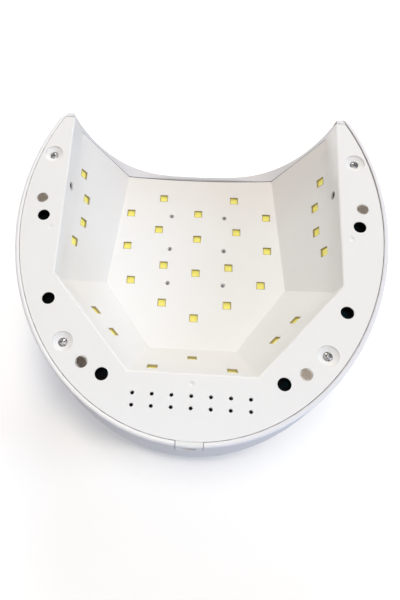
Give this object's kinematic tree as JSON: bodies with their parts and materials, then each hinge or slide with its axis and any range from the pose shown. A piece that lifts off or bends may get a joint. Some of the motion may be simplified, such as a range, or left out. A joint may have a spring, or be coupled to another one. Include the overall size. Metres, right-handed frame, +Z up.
{
  "type": "led nail lamp",
  "caption": "Domed LED nail lamp with a faceted reflector cavity, emitter boards behind its windows, and a timer display with press buttons on its crown.",
  "frame": {"origin": "centre of the lamp's base plane, at the middle of its width and depth", "axes": "+Z up in use, -Y towards the hand opening, +X across the width"},
  "size_m": [0.219, 0.208, 0.0967],
  "materials": {
    "shell_plastic": "satin, cool white, moulded",
    "liner_plastic": "satin, warm white, moulded",
    "white_board": "matt white solder mask",
    "emitter_package": "matt, tan",
    "emitter_lens": "clear yellow silicone",
    "screw_steel": "plated, satin",
    "magnet_metal": "plated, dull taupe",
    "socket_rubber": "matt black",
    "seal_foam": "matt dark grey",
    "part_body": "matt black",
    "capacitor_sleeve": "dark blue sleeve",
    "socket_nylon": "off-white nylon",
    "sensor_resin": "dark infrared filter resin",
    "green_board": "green solder mask",
    "switch_plastic": "matt black",
    "plunger_plastic": "matt black",
    "button_plastic": "satin, light grey",
    "display_plastic": "matt black",
    "window_plastic": "gloss, smoked",
    "jack_plastic": "matt black",
    "contact_metal": "nickel plated"
  },
  "bodies": {
    "housing": {"outer_shell": "shell_plastic", "reflector_liner": "liner_plastic", "ceiling_led_board": "white_board", "left_led_board": "white_board", "right_led_board": "white_board", "rear_left_led_board": "white_board", "rear_right_led_board": "white_board", "rear_led_board": "white_board", "ceiling_leds": "emitter_package", "left_leds": "emitter_package", "right_leds": "emitter_package", "rear_left_leds": "emitter_package", "rear_right_leds": "emitter_package", "rear_leds": "emitter_package", "ceiling_lenses": "emitter_lens", "left_lenses": "emitter_lens", "right_lenses": "emitter_lens", "rear_left_lenses": "emitter_lens", "rear_right_lenses": "emitter_lens", "rear_lenses": "emitter_lens", "ceiling_board_screws": "screw_steel", "wall_board_screws": "screw_steel", "case_screws": "screw_steel", "tray_magnets": "magnet_metal", "light_seal": "seal_foam", "tray_sockets": "socket_rubber", "ir_emitter": "sensor_resin", "ir_receiver": "sensor_resin", "main_board": "green_board", "main_board_screws": "screw_steel", "control_chip": "part_body", "chip_leads": "contact_metal", "storage_capacitors": "capacitor_sleeve", "power_inductor": "part_body", "board_sockets": "socket_nylon", "led_board_sockets": "socket_nylon", "socket_pins": "contact_metal", "tact_switches": "switch_plastic", "display_module": "display_plastic", "display_window": "window_plastic", "dc_jack": "jack_plastic", "dc_jack_pin": "contact_metal"},
    "button_10": {"timer_button_10": "button_plastic", "switch_plunger_10": "plunger_plastic"},
    "button_30": {"timer_button_30": "button_plastic", "switch_plunger_30": "plunger_plastic"},
    "button_60": {"timer_button_60": "button_plastic", "switch_plunger_60": "plunger_plastic"},
    "button_99": {"timer_button_99": "button_plastic", "switch_plunger_99": "plunger_plastic"}
  },
  "joints": [
    {"name": "press_10", "type": "slide", "parent": "housing", "child": "button_10", "axis": [0, 0, 1], "range_m": [-0.0006, 0], "stiffness_N_per_m": 400, "springref_m": 0.0008},
    {"name": "press_30", "type": "slide", "parent": "housing", "child": "button_30", "axis": [0, 0, 1], "range_m": [-0.0006, 0], "stiffness_N_per_m": 400, "springref_m": 0.0008},
    {"name": "press_60", "type": "slide", "parent": "housing", "child": "button_60", "axis": [0, 0, 1], "range_m": [-0.0006, 0], "stiffness_N_per_m": 400, "springref_m": 0.0008},
    {"name": "press_99", "type": "slide", "parent": "housing", "child": "button_99", "axis": [0, 0, 1], "range_m": [-0.0006, 0], "stiffness_N_per_m": 400, "springref_m": 0.0008}
  ]
}
